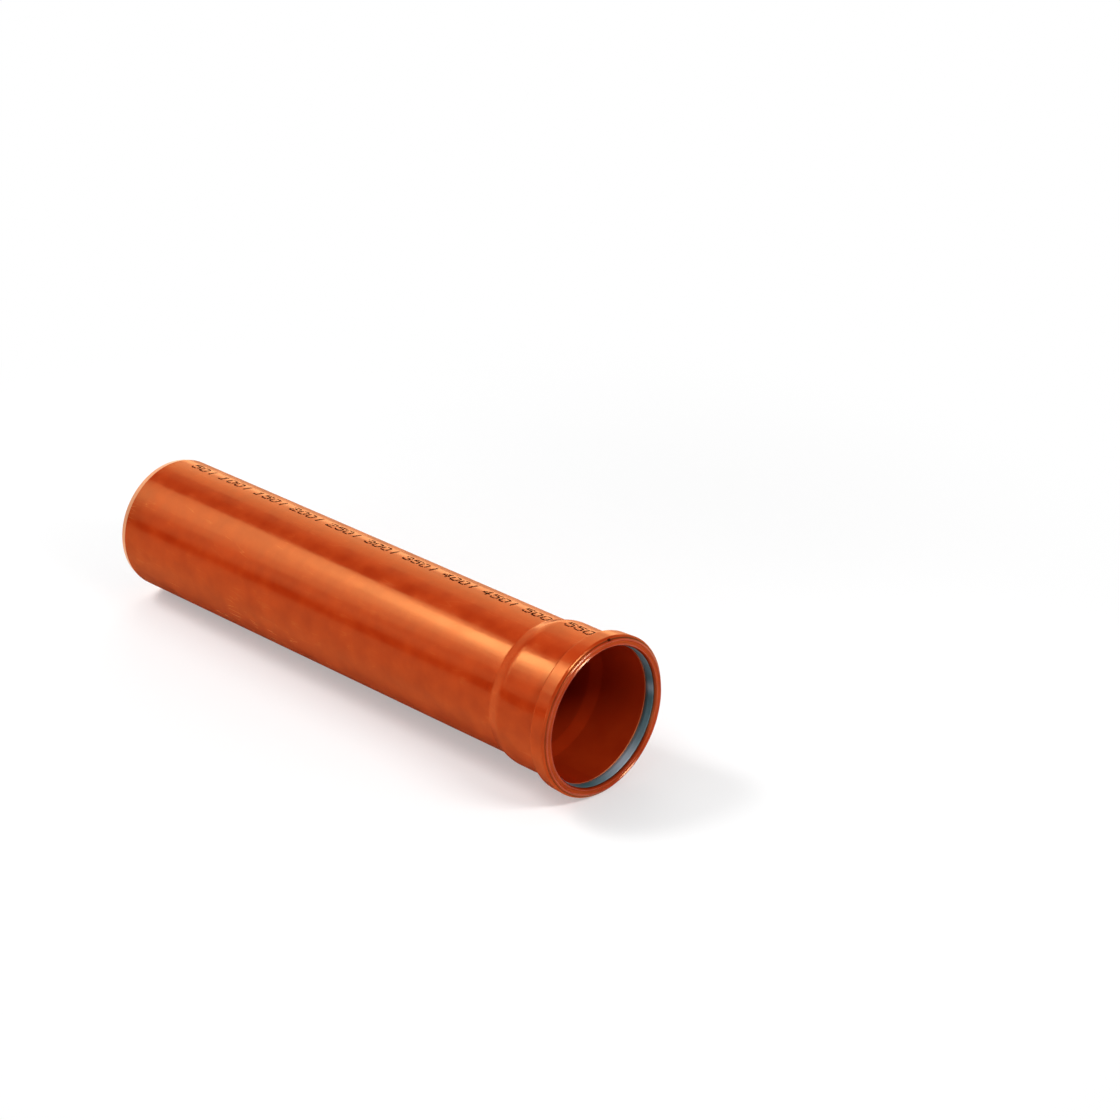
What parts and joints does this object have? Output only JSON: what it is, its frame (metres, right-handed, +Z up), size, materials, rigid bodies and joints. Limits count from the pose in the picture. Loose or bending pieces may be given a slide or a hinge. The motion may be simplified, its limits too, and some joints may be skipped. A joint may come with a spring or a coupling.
{
  "type": "pvc sewer pipe",
  "caption": "Short push-fit plastic drain pipe with a chamfered spigot at one end and a formed socket with a rubber lip seal in its bead at the other.",
  "frame": {"origin": "on the floor under the middle of the pipe as it lies, at the centre of the bottom of its box", "axes": "+X towards the socket's mouth, +Y to the side, +Z up; the pipe's own axis leans 1.07 degrees from +X, spigot down, because the bead is wider than the barrel"},
  "size_m": [0.5724, 0.1458, 0.1458],
  "materials": {
    "pvc_body": "extruded PVC-U, glossy with faint drag lines and scuffs",
    "seal_rubber": "moulded blue-grey rubber, slightly shiny"
  },
  "bodies": {
    "root": {"pipe": "pvc_body", "seal_ring": "seal_rubber"}
  },
  "joints": []
}
